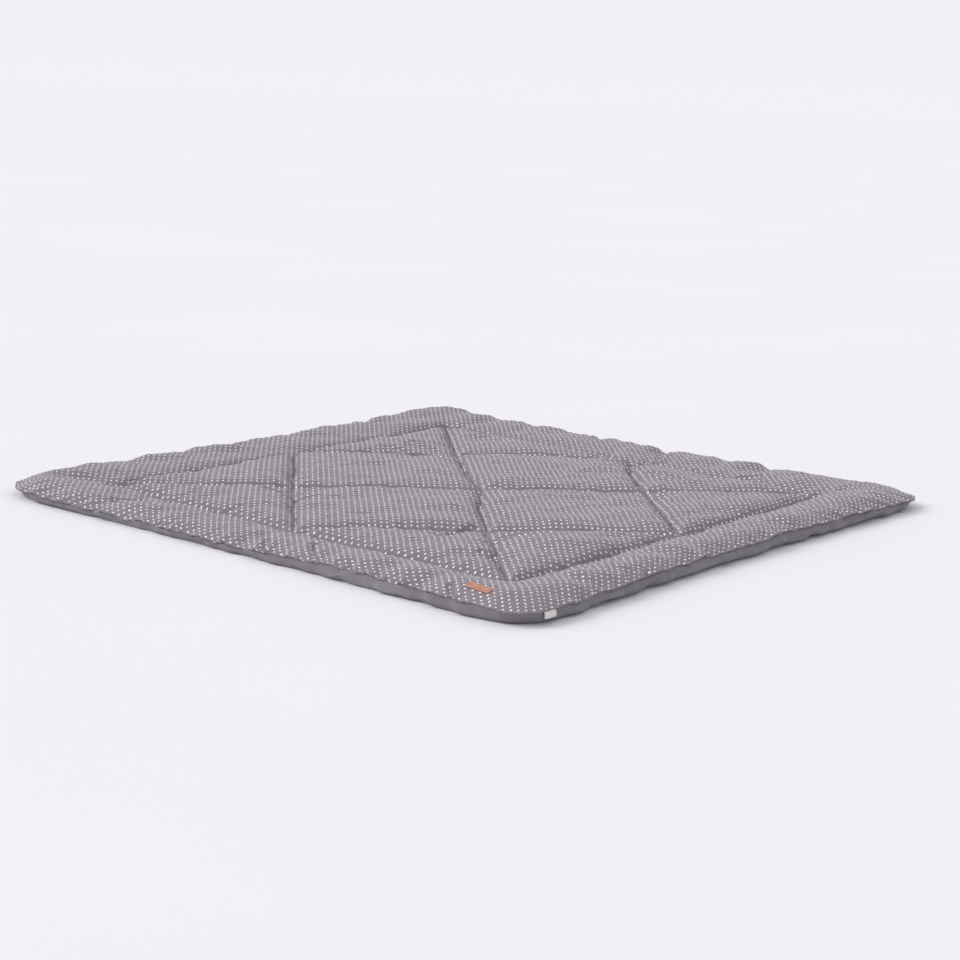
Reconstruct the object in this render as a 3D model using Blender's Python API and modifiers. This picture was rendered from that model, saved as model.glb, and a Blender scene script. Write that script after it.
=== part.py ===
"""Quilted play mat for a baby, 1.2 m square, lying flat.

Two cloth panels are sewn together round the edge with wadding between them:
a printed top panel that holds the wadding, and a plain back panel whose rim
turns up round the sides to the edge seam. Quilting is stitched right through,
as a square seam inside the border, its two diagonals and the diamond that
joins the middles of its sides. A leather label is sewn on the border at one
corner, and a folded ribbon tag is caught in the edge seam beside it.

The origin is the middle of the mat on the floor, +Z is up, and X and Y run
along the edges. The labelled corner is at -X, -Y. Everything is in metres.
"""

import math

import bmesh
import bpy
import numpy as np

# Driving sizes
SIDE = 1.200
BORDER = 0.150
CORNER_RADIUS = 0.060
GAP = 0.0004

# Heights above the floor
INNER_CREST = 0.0305
SIDE_CREST = 0.0275
CHANNEL_TOP = 0.0095
CHANNEL_UNDER = 0.0045
PARTING = 0.0068
EDGE_SEAM = 0.0125
EDGE_SEAM_CORNER_RISE = 0.0035

# How far a puff takes to reach its full height from a seam, and how steeply it starts
TOP_REACH, TOP_POWER = 0.105, 2.6
UNDER_REACH, UNDER_POWER = 0.060, 2.0

# Two diagonals of a grid square are as level as each other within this
LEVEL = 0.0003

# Places that follow from the driving sizes
HALF = SIDE / 2
QUILT_HALF = HALF - BORDER
INNER_STEPS = 18
BORDER_RINGS = 9
STEP = QUILT_HALF / INNER_STEPS

# Rings of the top panel's border, from the border seam out to the edge seam.
# Columns: distance in from the outline, share of the crest height (None: see EDGE_SEAM)
TOP_RINGS = [
    (0.1320, 0.70),
    (0.1100, 0.915),
    (0.0840, 0.985),
    (0.0560, 1.000),
    (0.0360, 0.960),
    (0.0190, 0.850),
    (0.0080, 0.690),
    (0.0000, 0.540),
    (0.0040, None),
]

# Rings of the back panel, likewise. Columns: distance in from the outline, height
BACK_RINGS = [
    (0.1280, 0.0012),
    (0.1050, 0.0000),
    (0.0800, 0.0000),
    (0.0550, 0.0000),
    (0.0320, 0.0000),
    (0.0140, 0.0000),
    (0.0050, 0.0012),
    (0.0025, 0.0055),
    (0.0040, None),
]

# The foot of the turned-up rim, where the two panels start to lie flat on each other
RIM_FOOT_INSET = 0.0160

# Crest height of the border at each corner. Columns: x sign, y sign, height
CORNER_CRESTS = [
    (-1, -1, 0.0385),
    (+1, -1, 0.0365),
    (+1, +1, 0.0400),
    (-1, +1, 0.0345),
]
CORNER_SPREAD = 0.150

# The sides pull in between the corners: by how much, and between which places along a side
DRAWN_IN = 0.007
DRAWN_FROM, DRAWN_TO = 0.10, 0.50

# Pleats where the edge seam gathers the cloth. Columns: place along the side, depth
LEFT_PLEATS = [(0.330, 0.004), (0.200, 0.004), (-0.020, 0.003), (-0.190, 0.004), (-0.310, 0.005),
               (-0.395, 0.006)]
NEAR_PLEATS = [(-0.420, 0.003), (-0.290, 0.004), (-0.195, 0.003), (-0.120, 0.004), (0.120, 0.006),
               (0.320, 0.005)]
RIGHT_PLEATS = [(0.395, 0.005), (0.295, 0.003), (0.120, 0.004), (-0.043, 0.006), (-0.185, 0.003),
                (-0.281, 0.005)]
FAR_PLEATS = [(-0.316, 0.005), (-0.183, 0.004), (-0.058, 0.004), (0.115, 0.004), (0.340, 0.004),
              (0.454, 0.002)]
PLEAT_WIDTH = 0.022
# They fade out between these places along a side, and this far from the border seam they are full.
# Each pulls the plan in by a share of its depth, and lets the edge seam down by another
PLEAT_FADE_FROM, PLEAT_FADE_TO = 0.44, 0.50
PLEAT_PULL, PLEAT_DIP = 0.8, 0.25
PLEAT_REACH = 0.100

# Main folds in the top panel, as soft troughs.
# Columns: start x, start y, end x, end y, depth, half width
FOLDS = [
    (-0.320, -0.205, -0.225, -0.195, 0.0050, 0.020),
    (0.110, 0.268, 0.215, 0.275, 0.0040, 0.020),
    (0.455, -0.035, 0.575, -0.043, 0.0070, 0.022),
    (-0.455, 0.455, -0.500, 0.530, 0.0060, 0.022),
    (-0.510, 0.285, -0.575, 0.330, 0.0040, 0.022),
    (-0.455, -0.010, -0.570, -0.020, 0.0040, 0.022),
    (-0.020, -0.455, 0.010, -0.560, 0.0040, 0.022),
    (0.020, 0.455, 0.025, 0.560, 0.0035, 0.022),
    (-0.290, 0.120, -0.240, 0.060, 0.0030, 0.022),
    (0.060, -0.230, 0.150, -0.210, 0.0035, 0.022),
]

# Leather label on the border: centre x and y, length along Y, width and thickness
LABEL_AT = (-0.564, -0.491)
LABEL_SIZE = (0.012, 0.046, 0.0015)
LABEL_TURN = math.radians(-3)
LABEL_CORNER = 0.002

# Folded ribbon tag in the edge seam: middle along X, width, thickness
TAG_AT = -0.539
TAG_WIDTH = 0.025
TAG_THICKNESS = 0.0008
# Its line down the side. Columns: distance in from the outline, distance below the edge seam
TAG_LINE = [(0.0034, 0.0005), (0.0020, 0.0027), (0.0018, 0.0060), (0.0014, 0.0095), (0.0014, 0.0125)]

# Colour, roughness
MATERIALS = {
    "printed_cotton": ((0.245, 0.225, 0.235), 0.90),
    "plain_cotton": ((0.150, 0.145, 0.150), 0.90),
    "leather": ((0.500, 0.210, 0.130), 0.60),
    "ribbon": ((0.800, 0.770, 0.700), 0.70),
}


def clear_scene():
    for obj in list(bpy.data.objects):
        bpy.data.objects.remove(obj)


def material(name):
    colour, roughness = MATERIALS[name]
    made = bpy.data.materials.new(name)
    made.use_nodes = True
    shader = made.node_tree.nodes["Principled BSDF"]
    shader.inputs["Base Color"].default_value = (*colour, 1.0)
    shader.inputs["Roughness"].default_value = roughness
    shader.inputs["Metallic"].default_value = 0.0
    return made


def smooth_step(value, low, high):
    share = np.clip((value - low) / (high - low), 0, 1)
    return share * share * (3 - 2 * share)


def seam_distance(x, y):
    """How far a point in the quilted square is from the nearest seam: its sides, its two diagonals
    and the diamond, all written for the first quarter and mirrored by the absolute values."""
    sides = QUILT_HALF - np.maximum(np.abs(x), np.abs(y))
    diagonals = np.abs(np.abs(x) - np.abs(y)) / math.sqrt(2)
    diamond = np.abs(np.abs(x) + np.abs(y) - QUILT_HALF) / math.sqrt(2)
    return np.minimum(np.minimum(diagonals, diamond), sides)


def puff(distance, reach, power):
    """Share of its full height that a puff has at a distance from a seam: 0 on it, 1 past the reach."""
    return 1 - (1 - np.clip(distance / reach, 0, 1)) ** power


def pleat_depth(pleats, along):
    """Depth of the pleats along one side, each a bell curve, fading out before the corners."""
    depth = sum(deep * np.exp(-(((along - place) / PLEAT_WIDTH) ** 2)) for place, deep in pleats)
    return depth * (1 - smooth_step(np.abs(along), PLEAT_FADE_FROM, PLEAT_FADE_TO))


def side_pleats(x, y):
    """Pleat depth seen by points near each side: left and right by their y, near and far by their x."""
    by_x = np.where(x < 0, pleat_depth(LEFT_PLEATS, y), pleat_depth(RIGHT_PLEATS, y))
    by_y = np.where(y < 0, pleat_depth(NEAR_PLEATS, x), pleat_depth(FAR_PLEATS, x))
    return by_x, by_y


def ring_points(ring_half, share):
    """Points on a square ring with rounded corners. ring_half holds each point's half size, and share
    its two coordinates over that half size. A point in a corner is drawn in onto the corner's arc."""
    radius = CORNER_RADIUS * np.clip((ring_half - QUILT_HALF) / BORDER, 0, 1)
    points = share * ring_half[:, None]
    centre = ring_half - radius
    offset = np.abs(points) - centre[:, None]
    in_corner = (offset > 0).all(axis=1) & (radius > 0)
    longest = offset.max(axis=1)
    length = np.maximum(np.hypot(offset[:, 0], offset[:, 1]), 1e-12)
    drawn = offset * (longest / length)[:, None]
    cornered = np.sign(points) * (centre[:, None] + drawn)
    return np.where(in_corner[:, None], cornered, points)


def draw_sides_in(points):
    """Pulls the border's plan in: the sides bow in between the corners and nick in at each pleat,
    most at the edge and not at all at the border seam."""
    x, y = points[:, 0], points[:, 1]
    pleats_x, pleats_y = side_pleats(x, y)
    moved = points.copy()
    for axis, along, pleats in ((0, y, pleats_x), (1, x, pleats_y)):
        bow = DRAWN_IN * (1 - smooth_step(np.abs(along), DRAWN_FROM, DRAWN_TO))
        out = np.clip((np.abs(points[:, axis]) - QUILT_HALF) / BORDER, 0, 1)
        moved[:, axis] -= np.sign(points[:, axis]) * (bow + PLEAT_PULL * pleats) * out**2
    return moved


def border_crest(points):
    """Height of the border's crest, lowest at the middles of the sides and full at the corners."""
    height = np.full(len(points), SIDE_CREST)
    for sign_x, sign_y, crest in CORNER_CRESTS:
        away = np.hypot(points[:, 0] - sign_x * HALF, points[:, 1] - sign_y * HALF)
        height += (crest - SIDE_CREST) * np.exp(-((away / CORNER_SPREAD) ** 2))
    pleats_x, pleats_y = side_pleats(points[:, 0], points[:, 1])
    near_x = smooth_step(np.abs(points[:, 0]), QUILT_HALF, QUILT_HALF + PLEAT_REACH)
    near_y = smooth_step(np.abs(points[:, 1]), QUILT_HALF, QUILT_HALF + PLEAT_REACH)
    return height - np.maximum(pleats_x * near_x, pleats_y * near_y)


def edge_seam_height(points):
    """Height of the edge seam, which rises to the corners and dips a little at each pleat."""
    pleats_x, pleats_y = side_pleats(points[:, 0], points[:, 1])
    on_x = np.abs(points[:, 0]) > np.abs(points[:, 1])
    to_corner = smooth_step(np.abs(points).min(axis=1), QUILT_HALF - BORDER, HALF - CORNER_RADIUS)
    return EDGE_SEAM + EDGE_SEAM_CORNER_RISE * to_corner - PLEAT_DIP * np.where(on_x, pleats_x, pleats_y)


def fold_depth(x, y):
    """Depth of the main folds: a trough along each fold's line, rounded across it and at its ends."""
    depth = np.zeros_like(x)
    for x0, y0, x1, y1, deep, half_width in FOLDS:
        run = np.array([x1 - x0, y1 - y0])
        share = np.clip(((x - x0) * run[0] + (y - y0) * run[1]) / (run @ run), 0, 1)
        away = np.hypot(x - x0 - share * run[0], y - y0 - share * run[1])
        depth = np.maximum(depth, deep * np.exp(-((away / half_width) ** 2)))
    return depth


def grid_mesh(name):
    """A square grid, with each vertex's whole-number place counted from the middle."""
    cells = 2 * (INNER_STEPS + BORDER_RINGS)
    bpy.ops.mesh.primitive_grid_add(x_subdivisions=cells, y_subdivisions=cells, size=cells)
    obj = bpy.context.object
    obj.name = name
    places = np.empty(len(obj.data.vertices) * 3)
    obj.data.vertices.foreach_get("co", places)
    return obj, np.rint(places.reshape(-1, 3)[:, :2]).astype(int)


def nominal(places):
    """Even coordinates for a grid place: steps of STEP in the quilted square, then even border rings."""
    count = np.abs(places)
    ring = np.clip(count - INNER_STEPS, 0, BORDER_RINGS)
    inner = np.minimum(count, INNER_STEPS) * STEP
    return np.sign(places) * (inner + ring * BORDER / BORDER_RINGS)


def panel_plan(places, insets):
    """Plan positions of all grid places, given each border ring's distance in from the outline."""
    even = nominal(places)
    across = np.abs(even).max(axis=1)
    ring = np.clip(np.abs(places).max(axis=1) - INNER_STEPS, 0, BORDER_RINGS)
    ring_half = np.where(ring > 0, HALF - np.array([BORDER, *insets])[ring], across)
    share = even / np.maximum(across, 1e-12)[:, None]
    return draw_sides_in(ring_points(ring_half, share)), ring


def set_positions(obj, plan, height):
    obj.data.vertices.foreach_set("co", np.column_stack([plan, height]).ravel())
    obj.data.update()


def close_panel(obj, places, offset, keep_low):
    """Turns the grid into a solid: the edge ring is carried in to the rim's foot and filled flat there.
    offset moves the parting surface up or down by half the gap. Each grid square is split along the
    diagonal that stays level, so that the channels run unbroken, and where both do, keep_low takes
    the lower one."""
    bm = bmesh.new()
    bm.from_mesh(obj.data)
    for face in list(bm.faces):
        a, b, c, d = face.verts
        steeper = abs(a.co.z - c.co.z) - abs(b.co.z - d.co.z)
        lower = (a.co.z + c.co.z) <= (b.co.z + d.co.z)
        first = lower == keep_low if abs(steeper) < LEVEL else steeper < 0
        bmesh.utils.face_split(face, *((a, c) if first else (b, d)))

    edge = [e for e in bm.edges if e.is_boundary]
    made = bmesh.ops.extrude_edge_only(bm, edges=edge)["geom"]
    foot = [v for v in made if isinstance(v, bmesh.types.BMVert)]
    bm.verts.index_update()
    above = [min(e.other_vert(v).index for e in v.link_edges) for v in foot]
    share = nominal(places)[above] / HALF
    plan = draw_sides_in(ring_points(np.full(len(foot), HALF - RIM_FOOT_INSET), share))
    for vert, (x, y) in zip(foot, plan):
        vert.co = (x, y, PARTING + offset)
    rim = [e for e in bm.edges if e.is_boundary]
    rim_faces = list({f for v in foot for f in v.link_faces})
    bmesh.ops.triangulate(bm, faces=rim_faces, quad_method="SHORT_EDGE")
    bmesh.ops.contextual_create(bm, geom=rim)
    bmesh.ops.recalc_face_normals(bm, faces=bm.faces)
    bm.to_mesh(obj.data)
    bm.free()


def finish(obj, finish_name, collection):
    """Gives an object its material, shades it smooth and files it in the mat's collection."""
    obj.data.materials.append(material(finish_name))
    obj.data.shade_smooth()
    obj.data.set_sharp_from_angle(angle=math.radians(50))
    for other in list(obj.users_collection):
        other.objects.unlink(obj)
    collection.objects.link(obj)


def top_panel(collection):
    """The printed panel and the wadding under it: puffs between the sewn channels and a rounded rim."""
    obj, places = grid_mesh("top_panel")
    plan, ring = panel_plan(places, [inset for inset, _ in TOP_RINGS])
    x, y = plan[:, 0], plan[:, 1]

    height = CHANNEL_TOP + (INNER_CREST - CHANNEL_TOP) * puff(seam_distance(x, y), TOP_REACH, TOP_POWER)
    crest = border_crest(plan)
    for k, (_, share) in enumerate(TOP_RINGS, start=1):
        on_ring = ring == k
        if share is None:
            height[on_ring] = edge_seam_height(plan)[on_ring] + GAP / 2
        else:
            height[on_ring] = crest[on_ring] * share
    folded = np.maximum(height - fold_depth(x, y), CHANNEL_TOP)
    height = np.where(ring < BORDER_RINGS - 1, folded, height)

    set_positions(obj, plan, height)
    close_panel(obj, places, GAP / 2, keep_low=True)
    finish(obj, "printed_cotton", collection)
    return obj


def back_panel(collection):
    """The plain panel: flat on the floor, nipped up along the quilting, its rim turned up to the seam."""
    obj, places = grid_mesh("back_panel")
    plan, ring = panel_plan(places, [inset for inset, _ in BACK_RINGS])
    x, y = plan[:, 0], plan[:, 1]

    height = CHANNEL_UNDER * (1 - puff(seam_distance(x, y), UNDER_REACH, UNDER_POWER))
    for k, (_, above) in enumerate(BACK_RINGS, start=1):
        on_ring = ring == k
        height[on_ring] = edge_seam_height(plan)[on_ring] - GAP / 2 if above is None else above

    set_positions(obj, plan, height)
    close_panel(obj, places, -GAP / 2, keep_low=False)
    finish(obj, "plain_cotton", collection)
    return obj


def leather_label(top, collection):
    """A small leather label that lies on the border's puff and bends with it."""
    width, length, thickness = LABEL_SIZE
    bpy.ops.mesh.primitive_grid_add(x_subdivisions=8, y_subdivisions=18, size=1, location=(0, 0, 0))
    obj = bpy.context.object
    obj.name = "leather_label"
    obj.scale = (width, length, 1)
    obj.rotation_euler = (0, 0, LABEL_TURN)
    obj.location = (*LABEL_AT, 2 * INNER_CREST)
    bpy.ops.object.transform_apply(location=False, rotation=True, scale=True)

    bm = bmesh.new()
    bm.from_mesh(obj.data)
    corners = [v for v in bm.verts if len(v.link_edges) == 2]
    bmesh.ops.bevel(bm, geom=corners, offset=LABEL_CORNER, segments=3, affect="VERTICES")
    bm.to_mesh(obj.data)
    bm.free()

    lay = obj.modifiers.new("lay on the border", "SHRINKWRAP")
    lay.target = top
    lay.wrap_method = "PROJECT"
    lay.use_project_z = True
    lay.use_negative_direction = True
    lay.use_positive_direction = False
    lay.offset = 1.5 * GAP
    leather = obj.modifiers.new("leather", "SOLIDIFY")
    leather.thickness = thickness
    leather.offset = 1.0
    finish(obj, "leather", collection)


def ribbon_tag(collection):
    """A folded ribbon that comes out of the edge seam and hangs down the side to just off the floor."""
    rows, columns = len(TAG_LINE) - 1, 6
    bpy.ops.mesh.primitive_grid_add(x_subdivisions=columns, y_subdivisions=rows, size=2)
    obj = bpy.context.object
    obj.name = "ribbon_tag"
    places = np.empty(len(obj.data.vertices) * 3)
    obj.data.vertices.foreach_get("co", places)
    places = places.reshape(-1, 3)
    along = TAG_AT + places[:, 0] * TAG_WIDTH / 2
    row = np.rint((1 - places[:, 1]) / 2 * rows).astype(int)
    inset, below = np.array(TAG_LINE)[row].T
    ring_half = HALF - inset
    share = np.column_stack([along / ring_half, np.full(len(along), -1.0)])
    plan = draw_sides_in(ring_points(ring_half, share))
    set_positions(obj, plan, edge_seam_height(plan) - below)

    ribbon = obj.modifiers.new("ribbon", "SOLIDIFY")
    ribbon.thickness = TAG_THICKNESS
    ribbon.offset = 0.0
    finish(obj, "ribbon", collection)


def build():
    clear_scene()
    collection = bpy.data.collections.new("play_mat")
    bpy.context.scene.collection.children.link(collection)
    top = top_panel(collection)
    back_panel(collection)
    leather_label(top, collection)
    ribbon_tag(collection)


build()
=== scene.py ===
"""A quilted play mat for a baby: dotted cotton over wadding, sewn to a plain cotton back, on a pale floor."""
import math

import bpy
import numpy as np
from mathutils import Matrix


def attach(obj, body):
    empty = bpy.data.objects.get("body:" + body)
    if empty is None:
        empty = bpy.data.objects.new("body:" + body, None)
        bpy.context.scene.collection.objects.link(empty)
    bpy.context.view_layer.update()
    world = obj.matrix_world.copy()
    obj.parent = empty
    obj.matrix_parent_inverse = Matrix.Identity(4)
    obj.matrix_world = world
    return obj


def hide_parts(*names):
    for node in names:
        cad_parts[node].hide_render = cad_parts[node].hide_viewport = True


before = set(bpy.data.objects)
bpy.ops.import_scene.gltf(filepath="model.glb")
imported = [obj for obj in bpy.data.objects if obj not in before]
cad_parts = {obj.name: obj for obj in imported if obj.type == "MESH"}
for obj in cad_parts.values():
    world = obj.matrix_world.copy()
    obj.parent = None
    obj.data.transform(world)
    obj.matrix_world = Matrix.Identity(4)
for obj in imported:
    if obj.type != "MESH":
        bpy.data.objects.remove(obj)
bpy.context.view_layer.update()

# Back panel
# One square of plain grey cotton. Its rim turns up round the wadding to the edge seam in small pleats, its
# lower edge rolls under to the floor, and the quilting nips shallow channels into its underside.
SIDE = 1.200
BORDER = 0.150
CORNER_RADIUS = 0.060
PANEL_GAP = 0.0004
PARTING = 0.0068
LEDGE_INSET = 0.0160
HALF = SIDE / 2
QUILT_HALF = HALF - BORDER

EDGE_SEAM = 0.0125
EDGE_SEAM_INSET = 0.0040

# The sides pull in between the corners, and at the pleats that the edge seam gathers.
# Columns: place along the side, depth
DRAWN_IN = 0.007
DRAWN_FROM, DRAWN_TO = 0.10, 0.50
LEFT_PLEATS = [(0.330, 0.004), (0.200, 0.004), (-0.020, 0.003), (-0.190, 0.004), (-0.310, 0.005),
               (-0.395, 0.006)]
NEAR_PLEATS = [(-0.420, 0.003), (-0.290, 0.004), (-0.195, 0.003), (-0.120, 0.004), (0.120, 0.006),
               (0.320, 0.005)]
RIGHT_PLEATS = [(0.395, 0.005), (0.295, 0.003), (0.120, 0.004), (-0.043, 0.006), (-0.185, 0.003),
                (-0.281, 0.005)]
FAR_PLEATS = [(-0.316, 0.005), (-0.183, 0.004), (-0.058, 0.004), (0.115, 0.004), (0.340, 0.004),
              (0.454, 0.002)]
PLEAT_WIDTH = 0.017
PLEAT_FADE_FROM, PLEAT_FADE_TO = 0.44, 0.50
PLEAT_PULL, PLEAT_DIP = 0.8, 0.25

# How the rim runs round the mat, from its left side by the front, right and back corners. Columns: degrees
# round the middle from +X, height of the edge seam, its inset from the outline, crest of the border, width of
# the border's fall to the edge, its steepness beside the square seam, and inset and height of the roll below
RIM_COURSE = [
    (-180, 0.0125, 0.0040, 0.0285, 0.034, 0.15, 0.0130, 0.0060),
    (-170, 0.0150, 0.0045, 0.0300, 0.036, 0.10, 0.0140, 0.0060),
    (-161, 0.0210, 0.0065, 0.0345, 0.042, 0.05, 0.0150, 0.0065),
    (-150, 0.0215, 0.0070, 0.0375, 0.046, 0.05, 0.0150, 0.0065),
    (-142, 0.0205, 0.0060, 0.0395, 0.052, 0.05, 0.0150, 0.0070),
    (-135, 0.0200, 0.0040, 0.0400, 0.056, 0.20, 0.0170, 0.0080),
    (-127, 0.0205, 0.0060, 0.0400, 0.054, 0.05, 0.0220, 0.0090),
    (-116, 0.0225, 0.0100, 0.0405, 0.050, 0.00, 0.0280, 0.0105),
    (-90, 0.0225, 0.0100, 0.0400, 0.050, 0.00, 0.0280, 0.0105),
    (-74, 0.0240, 0.0100, 0.0405, 0.050, 0.00, 0.0280, 0.0105),
    (-60, 0.0215, 0.0100, 0.0400, 0.050, 0.05, 0.0260, 0.0100),
    (-51, 0.0185, 0.0080, 0.0390, 0.052, 0.20, 0.0230, 0.0090),
    (-45, 0.0150, 0.0040, 0.0365, 0.056, 0.30, 0.0190, 0.0080),
    (-30, 0.0130, 0.0040, 0.0300, 0.036, 0.45, 0.0160, 0.0065),
    (0, 0.0125, 0.0040, 0.0285, 0.032, 0.50, 0.0150, 0.0060),
    (30, 0.0130, 0.0040, 0.0310, 0.040, 0.50, 0.0150, 0.0060),
    (45, 0.0160, 0.0040, 0.0400, 0.056, 0.50, 0.0170, 0.0070),
    (60, 0.0130, 0.0040, 0.0310, 0.040, 0.50, 0.0150, 0.0060),
    (90, 0.0125, 0.0040, 0.0285, 0.032, 0.50, 0.0150, 0.0060),
    (120, 0.0125, 0.0040, 0.0300, 0.036, 0.50, 0.0150, 0.0060),
    (135, 0.0135, 0.0040, 0.0345, 0.052, 0.35, 0.0160, 0.0070),
    (150, 0.0125, 0.0040, 0.0300, 0.036, 0.20, 0.0130, 0.0060),
    (180, 0.0125, 0.0040, 0.0285, 0.034, 0.15, 0.0130, 0.0060),
]

# How the corners' tips lie, with how far each measure spreads.
# Columns: x sign, y sign, lift off the floor, pull inwards
TIPS = [(-1, -1, 0.0020, 0.000), (+1, -1, 0.0050, 0.000), (+1, +1, 0.0040, 0.002), (-1, +1, 0.0055, 0.016)]
TIP_LIFT_SPREAD, TIP_PULL_SPREAD = 0.050, 0.060
TIP_UNDERCUT = 0.010

# The back's own sizes: steps of its grid, its channels, the bulge of its rim and the rim's creases
BACK_QUILT_STEPS, BACK_BORDER_STEPS, BACK_ROLL_STEPS, BACK_RIM_STEPS = 90, 24, 8, 6
BACK_CHANNEL, BACK_REACH = 0.0045, 0.060
BACK_ROLL_INSET, BACK_ROLL_HEIGHT = 0.0280, 0.0060
BACK_BULGE_INSET = 0.0027
BACK_CREASE, BACK_CREASE_LENGTHS, BACK_CREASE_SLANT = 0.0018, (0.018, 0.070), 0.8
BACK_LIFT, BACK_LIFT_LENGTHS = 0.0028, (0.04, 0.14)
EDGE_SEAM_WAVER, EDGE_SEAM_WAVER_LENGTHS = 0.0012, (0.025, 0.100)
TAG_AT = -0.539
TAG_CALM = 0.030

# Dyes of the back: its two grounds, and the dark between its threads
PLAIN_GREY, PLAIN_MAUVE, PLAIN_DARK = (0.225, 0.217, 0.231), (0.196, 0.181, 0.192), (0.125, 0.118, 0.127)


def smooth_step(value, low, high):
    """0 below low, 1 above high, and the cubic 3 t^2 - 2 t^3 between them."""
    t = np.clip((value - low) / (high - low), 0, 1)
    return t * t * (3 - 2 * t)


def bell(distance, width):
    """A bell curve, exp(-(distance / width)^2)."""
    return np.exp(-((distance / width) ** 2))


def ripple(x, y, lengths, heading, spread, seed, count=40):
    """Uneven relief whose usual size is 1: a sum of sine waves over the root of half their number. Their
    lengths lie between the two given, their crests run along heading, give or take spread, and their
    phases are drawn from the seed."""
    draw = np.random.default_rng(seed)
    total = np.zeros(np.shape(x))
    for _ in range(count):
        length = draw.uniform(*lengths)
        turn = heading + draw.uniform(-spread, spread)
        phase = draw.uniform(0, math.tau)
        total += np.sin(math.tau * (y * math.cos(turn) - x * math.sin(turn)) / length + phase)
    return total / math.sqrt(count / 2)


def square_rings(cloth, half):
    """A square grid drawn as rings round its middle. Ring k lies cloth[k] from the middle of the flat cloth
    and half[k] from it in plan. A point keeps its share of the way along its ring, and where the ring has a
    round corner, the shares past the corner's start become equal steps of its quarter turn.
    Gives the flat place u, v, the plan x, y and the ring of each point."""
    step = np.arange(len(cloth))
    index = np.concatenate([-step[:0:-1], step])
    ring = np.maximum.outer(abs(index), abs(index))
    flat = np.sign(index) * cloth[abs(index)]
    u, v = np.meshgrid(flat, flat, indexing="ij")
    size = half[ring]
    radius = CORNER_RADIUS * np.clip((size - QUILT_HALF) / BORDER, 0, 1)
    centre = size - radius
    scale = size / np.maximum(cloth[ring], 1e-9)
    lesser = np.minimum(abs(u), abs(v)) * scale
    turn = math.pi / 4 * np.clip((lesser - centre) / np.maximum(radius, 1e-9), 0, 1)
    in_corner = lesser > centre
    far = np.where(in_corner, centre + radius * np.cos(turn), size)
    near = np.where(in_corner, centre + radius * np.sin(turn), lesser)
    wider = abs(u) >= abs(v)
    x = np.sign(u) * np.where(wider, far, near)
    y = np.sign(v) * np.where(wider, near, far)
    return u, v, x, y, ring


def pleat_depth(pleats, along):
    """Depth of one side's pleats, each a bell curve along the side, fading out before the corners."""
    depth = sum(deep * bell(along - place, PLEAT_WIDTH) for place, deep in pleats)
    return depth * (1 - smooth_step(abs(along), PLEAT_FADE_FROM, PLEAT_FADE_TO))


def side_pleats(x, y):
    """Pleat depths that a point meets: of the left or right side by its y, of the near or far one by its x."""
    by_x = np.where(x < 0, pleat_depth(LEFT_PLEATS, y), pleat_depth(RIGHT_PLEATS, y))
    by_y = np.where(y < 0, pleat_depth(NEAR_PLEATS, x), pleat_depth(FAR_PLEATS, x))
    return by_x, by_y


def rim(x, y, column):
    """A column of the rim's course, read by straight lines between its rows at the angle of each point."""
    course = np.array(RIM_COURSE)
    return np.interp(np.degrees(np.arctan2(y, x)), course[:, 0], course[:, column])


def tip_nearness(x, y, spread):
    """How near a point is to the nearest corner's rounded tip: a bell curve of its distance."""
    tip = HALF - CORNER_RADIUS * (1 - math.sqrt(0.5))
    return bell(np.hypot(abs(x) - tip, abs(y) - tip), spread)


def at_tip(x, y, column):
    """A column of the tips' table for the corner that lies in each point's quarter."""
    value = np.zeros(np.shape(x))
    for row in TIPS:
        value = np.where((np.sign(x) == row[0]) & (np.sign(y) == row[1]), row[column], value)
    return value


def draw_sides_in(x, y):
    """Bows each side in between the corners and nicks it in at the pleats, by a square law from the border
    seam, where it is nothing, to the edge. The tips of the corners are pulled in by their own measure."""
    pleats_x, pleats_y = side_pleats(x, y)
    pull = at_tip(x, y, 3) * tip_nearness(x, y, TIP_PULL_SPREAD) * math.sqrt(0.5)
    bow_x = DRAWN_IN * (1 - smooth_step(abs(y), DRAWN_FROM, DRAWN_TO)) + PLEAT_PULL * pleats_x
    bow_y = DRAWN_IN * (1 - smooth_step(abs(x), DRAWN_FROM, DRAWN_TO)) + PLEAT_PULL * pleats_y
    out_x = np.clip((abs(x) - QUILT_HALF) / BORDER, 0, 1) ** 2
    out_y = np.clip((abs(y) - QUILT_HALF) / BORDER, 0, 1) ** 2
    return x - np.sign(x) * (bow_x * out_x + pull), y - np.sign(y) * (bow_y * out_y + pull)


def edge_seam_height(x, y):
    """Height of the edge seam: its course round the rim, with a dip of a share of each pleat and an uneven
    waver between."""
    pleats_x, pleats_y = side_pleats(x, y)
    pleats = np.where(abs(x) > abs(y), pleats_x, pleats_y)
    calm = 1 - bell(np.hypot(x - TAG_AT, y + HALF), TAG_CALM)
    waver = EDGE_SEAM_WAVER * ripple(x, y, EDGE_SEAM_WAVER_LENGTHS, 0, math.pi, seed=2) * calm
    return rim(x, y, 1) + waver - PLEAT_DIP * pleats


def outward(x, y):
    """Unit vector out of the mat's side: square to the straight sides, radial round the corners."""
    from_x = np.maximum(abs(x) - (HALF - CORNER_RADIUS), 0)
    from_y = np.maximum(abs(y) - (HALF - CORNER_RADIUS), 0)
    length = np.maximum(np.hypot(from_x, from_y), 1e-9)
    return np.sign(x) * from_x / length, np.sign(y) * from_y / length


def seam_distance(x, y):
    """Distance to the nearest line of quilting: the square seam, and inside it the two diagonals and the
    diamond, all written for one quarter and mirrored by the absolute values."""
    a, b = abs(x), abs(y)
    square = QUILT_HALF - np.maximum(a, b)
    diagonals = abs(a - b) / math.sqrt(2)
    diamond = abs(a + b - QUILT_HALF) / math.sqrt(2)
    return np.where(square < 0, -square, np.minimum(np.minimum(diagonals, diamond), square))


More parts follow.
